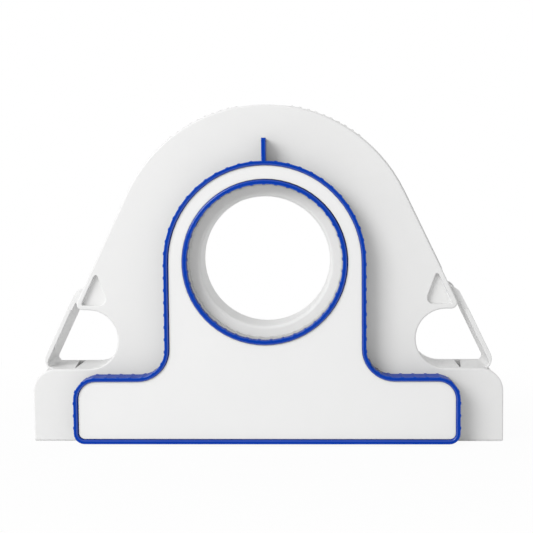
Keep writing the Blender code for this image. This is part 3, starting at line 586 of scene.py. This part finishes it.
def rim_at(work, level):
    """The sharp edges that lie in the plane at this place along Y."""
    rim = []
    for edge in work.edges:
        sharp = len(edge.link_faces) == 2 and edge.calc_face_angle() >= SHARP_ANGLE
        if sharp and all(abs(vert.co.y - level) <= PLANE_REACH for vert in edge.verts):
            rim.append(edge)
    return rim


def round_off(work, rim, radius, segments=3):
    """Bevel the edges of a rim that earlier bevels have left in place."""
    rim = [edge for edge in rim if edge.is_valid]
    bmesh.ops.bevel(work, geom=rim, offset=radius, offset_type="OFFSET", affect="EDGES", segments=segments,
                    profile=0.5, material=-1, clamp_overlap=False)
    print("rounded", len(rim), "edges by", round(radius * 1000, 2), "mm")


print("edges over", round(math.degrees(SHARP_ANGLE)), "degrees can be part of a rim")

# %% Make a piece of a copy
SHADE_ANGLE = math.radians(42.0)
BODY_OF_NODE = {node: body for body, nodes in frame["record"]["behaviour"]["bodies"].items()
                for node in nodes}


def dress(work, name, node, slot_name=None):
    """Make a piece that moves with a node's body. Where no other slot is named, it stands for the node."""
    mesh = bpy.data.meshes.new(name)
    work.to_mesh(mesh)
    work.free()
    mesh.shade_smooth()
    mesh.set_sharp_from_angle(angle=SHADE_ANGLE)
    mesh.materials.append(FINISH_OF_SLOT[slot_name or SLOT_OF_NODE[node]])
    piece = bpy.data.objects.new(name, mesh)
    bpy.context.scene.collection.objects.link(piece)
    even = piece.modifiers.new("even_shading", "WEIGHTED_NORMAL")
    even.keep_sharp = True
    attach(piece, BODY_OF_NODE[node])
    if slot_name is None:
        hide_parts(node)
    print("made", name, "with", len(mesh.polygons), "faces")
    return piece


# %% [markdown]
# ## The arch
#
# Both halves share one outline: a round arch that runs over into two straight slopes, with grip ribs on it.
# A helper says how far a point is from the arch's centre, square to that outline, and which way is out.
# With it the ribs of the front half are pressed flat, because the picture shows only the ones behind it.

# %% Measure and reshape the arch
ARCH_HEIGHT = 0.086
ARCH_RADIUS = 0.0717
ARCH_FOOT = 0.0345
SLOPE = math.radians(25.67)
RIB_HEIGHT = 0.0007
OUTLINE_PLAY = 0.0001


def out_of_arch(place):
    """Distance from the arch's centre, square to the outline, and the direction outwards."""
    arm = Vector((place.x, 0.0, place.z - ARCH_HEIGHT))
    if arm.z > ARCH_RADIUS * math.sin(SLOPE):
        return arm.length, arm.normalized()
    out = Vector((math.copysign(math.cos(SLOPE), place.x), 0.0, math.sin(SLOPE)))
    return arm.dot(out), out


def reshape_arch(work, levels, rib_share, rise):
    """Scale the ribs on the outline at these places along Y, and lift the outline by rise(place)."""
    moved = 0
    for vert in work.verts:
        if all(abs(vert.co.y - level) > PLANE_REACH for level in levels) or vert.co.z < ARCH_FOOT:
            continue
        reach, out = out_of_arch(vert.co)
        rib = reach - ARCH_RADIUS
        if -OUTLINE_PLAY < rib < RIB_HEIGHT + OUTLINE_PLAY:
            vert.co += out * (rise(vert.co) + rib * (rib_share - 1.0))
            moved += 1
    print("reshaped", moved, "points of the arch")


# %% [markdown]
# ## The front half
#
# The front half is a plate with a short rim. Its bore, its outline and its two pockets all open at the face.
# These rims catch a fine line of light on the left and of shade on the right.
# Fingers go through the bore, so its edge is the roundest, and the pockets' edges are the sharpest.
# Each bevel changes the mesh, so all rims are picked before the first one.
# The bore's axis is the hub's, so its height is read from the hub's joint.

# %% Front half
JOINT_PLACES = {joint["name"]: joint.get("pos_m") for joint in frame["joints"]}
AXIS_HEIGHT = JOINT_PLACES["hub_spin"][2]
RING_INNER_RADIUS = 0.0359
BORE_EDGE = 0.0018
BORE_SEGMENTS = 6
POCKET_EDGE = 0.0004
POCKET_SPAN = (0.0725, 0.0885)
POCKET_RISE = (0.0635, 0.0815)
POCKET_LAND = 0.001
COVER_EDGE = 0.0008
COVER_BACK = -0.005


def front_of(node):
    """The place along Y of a CAD node's front."""
    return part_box(node)[0][1]


def in_bore(edge):
    """Whether an edge of the face lies inside the ring, as the bore's rim does."""
    return all(math.hypot(vert.co.x, vert.co.z - AXIS_HEIGHT) < RING_INNER_RADIUS for vert in edge.verts)


def in_pocket(edge):
    """Whether an edge of the face lies in a pocket's box, and inwards of the outline."""
    middle = (edge.verts[0].co + edge.verts[1].co) / 2
    inside = POCKET_SPAN[0] < abs(middle.x) < POCKET_SPAN[1] and POCKET_RISE[0] < middle.z < POCKET_RISE[1]
    return inside and out_of_arch(middle)[0] < ARCH_RADIUS - POCKET_LAND


work = merged_copy("front_cover")
reshape_arch(work, (front_of("front_cover"), COVER_BACK), 0.0, lambda place: 0.0)
rim = rim_at(work, front_of("front_cover"))
bore = [edge for edge in rim if in_bore(edge)]
pockets = [edge for edge in rim if in_pocket(edge)]
outline = [edge for edge in rim if edge not in bore and edge not in pockets]
round_off(work, bore, BORE_EDGE, BORE_SEGMENTS)
round_off(work, pockets, POCKET_EDGE)
round_off(work, outline, COVER_EDGE)
dress(work, "front_half", "front_cover")

# %% [markdown]
# ## The rear half
#
# The rear half is a deep shell. The hand holds it, so its rear rim is rounded.
# Its front edge lies level with the fronts of the arms, and only the tube inside it reaches further forward.
# That edge is flared a little over the arch and the slopes, down to the arms.
# From the front that flare shows past the front half as a thin grey line, with a dot at each rib.
# Three cuts across the mesh give the flare its own rows of points, so that the rest stays straight.

# %% Rear half
SHELL_EDGE = 0.0007
FLARE = 0.0006
FLARE_DEPTH = 0.0015
FLARE_RIB_SHARE = 0.6
FLARE_FOOT = (0.0775, 0.0815)
FLARE_TOP = (0.0046, 0.0150)
CROWN_HEIGHT = 0.12


def back_of(node):
    """The place along Y of a CAD node's back."""
    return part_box(node)[1][1]


def flare_at(place):
    """Full flare on the sides, none at the arms and none at the very top, which sets the tool's height."""
    foot = (place.z - FLARE_FOOT[0]) / (FLARE_FOOT[1] - FLARE_FOOT[0])
    top = (abs(place.x) - FLARE_TOP[0]) / (FLARE_TOP[1] - FLARE_TOP[0])
    return FLARE * max(0.0, min(1.0, foot, top if place.z > CROWN_HEIGHT else 1.0))


work = merged_copy("rear_shell")
shell_front = front_of("end_arm_left")
cuts = [((0, shell_front + FLARE_DEPTH, 0), (0, 1, 0)),
        ((0, 0, FLARE_FOOT[0]), (0, 0, 1)),
        ((0, 0, FLARE_FOOT[1]), (0, 0, 1))]
for place, across in cuts:
    everything = work.verts[:] + work.edges[:] + work.faces[:]
    bmesh.ops.bisect_plane(work, geom=everything, plane_co=place, plane_no=across, dist=MERGE_REACH)
reshape_arch(work, (shell_front,), FLARE_RIB_SHARE, flare_at)
round_off(work, rim_at(work, back_of("rear_shell")), SHELL_EDGE)
dress(work, "rear_half", "rear_shell")

# %% [markdown]
# ## Low ribs
#
# Fine ribs run across the outside of the blue trim and inside its ring.
# The picture shows them fainter than in the CAD, so the copy presses them to 60 percent of their height.
# A point's height over the plain wall could come from the outline's formula.
# It is easier to measure it from the trim's own inner wall, which has no ribs and runs beside the outer one.

# %% Press the ribs down
TRIM_WALL = 0.002
TRIM_FLOOR = 0.0016
TRIM_RIB = 0.00045
RIB_SHARE = 0.6
RING_TRACE = 0.000002
WALL_TRACE = 0.000009
RING_BAND = 0.003
WALL_SETBACK = 0.0002
WALL_TILT = 0.1


def side_faces(vert):
    """The faces at a point that run from front to back."""
    return [face for face in vert.link_faces if abs(face.normal.y) < WALL_TILT]


def is_inner_wall(face, floor_level):
    """Whether a face is the trim's own wall on the panel's side, away from the ring."""
    middle = face.calc_center_median()
    arm = Vector((middle.x, 0.0, middle.z - AXIS_HEIGHT))
    reaches_floor = all(vert.co.y < floor_level + PLANE_REACH for vert in face.verts)
    return abs(face.normal.y) < WALL_TILT and reaches_floor and arm.length > RING_INNER_RADIUS + RING_BAND


def inner_walls(work, floor_level):
    """A search tree of the trim's walls on the panel's side."""
    bare = work.copy()
    apart = [face for face in bare.faces if not is_inner_wall(face, floor_level)]
    bmesh.ops.delete(bare, geom=apart, context="FACES")
    walls = BVHTree.FromBMesh(bare)
    bare.free()
    return walls


def rib_on_wall(vert, walls, floor_level):
    """How far a point stands out from the trim's plain outside, and the direction back."""
    start = Vector((vert.co.x, min(vert.co.y, floor_level) - WALL_SETBACK, vert.co.z))
    nearest, _, _, distance = walls.find_nearest(start)
    back = Vector((nearest.x - start.x, 0.0, nearest.z - start.z)).normalized()
    return distance - TRIM_WALL, back


def lower_ribs(work):
    """Press the ribs inside the ring and on the trim's outside to RIB_SHARE of their height."""
    floor_level = back_of("blue_frame") - TRIM_FLOOR
    walls = inner_walls(work, floor_level)
    moves = []
    for vert in work.verts:
        arm = Vector((vert.co.x, 0.0, vert.co.z - AXIS_HEIGHT))
        rib = RING_INNER_RADIUS - arm.length
        back = arm.normalized()
        least = RING_TRACE
        if rib < -RING_BAND and side_faces(vert):
            rib, back = rib_on_wall(vert, walls, floor_level)
            least = WALL_TRACE
        if least < rib < TRIM_RIB + OUTLINE_PLAY:
            moves.append((vert, back * rib * (1 - RIB_SHARE)))
    for vert, move in moves:
        vert.co += move
    print("lowered ribs at", len(moves), "points")


print("ribs go from", round(TRIM_RIB * 1000, 2), "to", round(TRIM_RIB * RIB_SHARE * 1000, 2), "mm")

# %% [markdown]
# ## The blue trim
#
# The trim is a wall that stands 10.6 mm forward, with a second wall round the bore and a fin on top.
# Its inner edge is rounder than its outer one, and there it shows a paler line that faces the window.
# Both edges lie in the front plane, and only the walls under the outer one run to the trim's back.

# %% Blue trim
TRIM_OUTER_EDGE = 0.0003
TRIM_INNER_EDGE = 0.0008
TRIM_INNER_SEGMENTS = 4


def reaches_back(edge):
    """Whether a wall under a front edge runs to the rear of the trim, as the outer walls do."""
    level = back_of("blue_frame")
    return any(abs(vert.co.y - level) < PLANE_REACH for face in edge.link_faces for vert in face.verts)


work = merged_copy("blue_frame")
lower_ribs(work)
rim = rim_at(work, front_of("blue_frame"))
outer_rim = [edge for edge in rim if reaches_back(edge)]
inner_rim = [edge for edge in rim if edge not in outer_rim]
round_off(work, outer_rim, TRIM_OUTER_EDGE)
round_off(work, inner_rim, TRIM_INNER_EDGE, TRIM_INNER_SEGMENTS)
dress(work, "blue_trim", "blue_frame")

# %% [markdown]
# ## The lining of the ring
#
# In the picture only the front edge of the ring is blue, and inside it the bore is white and ribbed.
# The trim's own faces run from the front edge to the back, so a second colour on them would reach that edge.
# So the lining is a layer of its own: the ring's inner wall, cut 4 mm behind the front and 0.3 mm thick.
# It rides with the trim. Its white is darker than that of the halves, and that darker white is painted shade
# inside the ring.

# %% Ring lining
LINING_SETBACK = 0.0040
LINING_THICKNESS = 0.0003

work = merged_copy("blue_frame")
lower_ribs(work)
apart = []
for face in work.faces:
    middle = face.calc_center_median()
    arm = math.hypot(middle.x, middle.z - AXIS_HEIGHT)
    if abs(face.normal.y) > WALL_TILT or arm > RING_INNER_RADIUS + OUTLINE_PLAY:
        apart.append(face)
bmesh.ops.delete(work, geom=apart, context="FACES")
everything = work.verts[:] + work.edges[:] + work.faces[:]
bmesh.ops.bisect_plane(work, geom=everything, plane_co=(0, front_of("blue_frame") + LINING_SETBACK, 0),
                       plane_no=(0, -1, 0), dist=MERGE_REACH, clear_outer=True)
bmesh.ops.solidify(work, geom=work.faces[:], thickness=-LINING_THICKNESS)
bmesh.ops.recalc_face_normals(work, faces=work.faces)
radii = [math.hypot(vert.co.x, vert.co.z - AXIS_HEIGHT) for vert in work.verts]
print("lining between", round(min(radii) * 1000, 2), "and", round(max(radii) * 1000, 2), "mm")
shaded_ring_lining = dress(work, "shaded_ring_lining", "blue_frame", "white_plastic")
# Its darker white paints the shade inside the ring.
shaded_ring_lining.data.materials[0] = SHADED_LINING_PLASTIC

# %% [markdown]
# ## The panel
#
# The panel is a smooth sheet that drops into the trim.
# It fits closely, so its sides are moved out to the walls.
# It leans to the upper right in its seat.
# So a fine dark gap stays open on its left and lower sides, and on the upper right of the ring.
# Scaling the sheet would close the gap unevenly, so each side moves along its own normal instead.

# %% Face panel
PANEL_EDGE = 0.0002
PANEL_SEGMENTS = 2
PANEL_THICKNESS = 0.002
PANEL_RING_REACH = 0.039
PANEL_OUTER_PUSH = 0.00027
PANEL_RING_PUSH = 0.0005
PANEL_SLACK = 0.0003
PANEL_LEAN = Vector((0.8, 0.0, 0.6))
SHARPEST_CORNER = 0.5


def push_out(verts, amount):
    """Move the walls at these points outwards, and less by the slack where they face away from the lean."""
    moves = []
    for vert in verts:
        sides = [face.normal for face in side_faces(vert)]
        mean = sum(sides, Vector()).normalized()
        here = amount - PANEL_SLACK * max(0.0, -mean.dot(PANEL_LEAN))
        moves.append((vert, mean * (here / max(mean.dot(sides[0]), SHARPEST_CORNER))))
    for vert, move in moves:
        vert.co += move
    print("moved", len(moves), "points of the panel by up to", round(amount * 1000, 2), "mm")


work = merged_copy("face_panel")
sheet_back = front_of("face_panel") + PANEL_THICKNESS + OUTLINE_PLAY
sheet = [vert for vert in work.verts if vert.co.y < sheet_back and len(side_faces(vert)) > 1]
by_ring = [vert for vert in sheet if math.hypot(vert.co.x, vert.co.z - AXIS_HEIGHT) < PANEL_RING_REACH]
push_out([vert for vert in sheet if vert not in by_ring], PANEL_OUTER_PUSH)
push_out(by_ring, PANEL_RING_PUSH)
round_off(work, rim_at(work, front_of("face_panel")), PANEL_EDGE, PANEL_SEGMENTS)
dress(work, "face_sheet", "face_panel")

# %% [markdown]
# ## The end arms
#
# Each arm is a strip that is bent round the end of the finger opening.
# Fingers push it, so its edges are soft.
# The top of its knuckle is pressed a little flatter than a full circle, as the picture shows it.
# The two arms mirror each other, so one loop makes both, and the pivot comes from the arm's joint.

# %% End arms
ARM_EDGE = 0.0004
HOLE_REACH = 0.003
KNUCKLE_PRESS = 0.76

pivot = Vector(JOINT_PLACES["arm_right_swing"])
for side in ("left", "right"):
    node = "end_arm_" + side
    work = merged_copy(node)
    for vert in work.verts:
        arm = Vector((abs(vert.co.x) - pivot.x, 0.0, vert.co.z - pivot.z))
        if arm.z > 0 and arm.length > HOLE_REACH:
            vert.co.z = pivot.z + arm.z * KNUCKLE_PRESS
    for level in (front_of(node), back_of(node)):
        round_off(work, rim_at(work, level), ARM_EDGE)
    dress(work, "arm_strip_" + side, node)
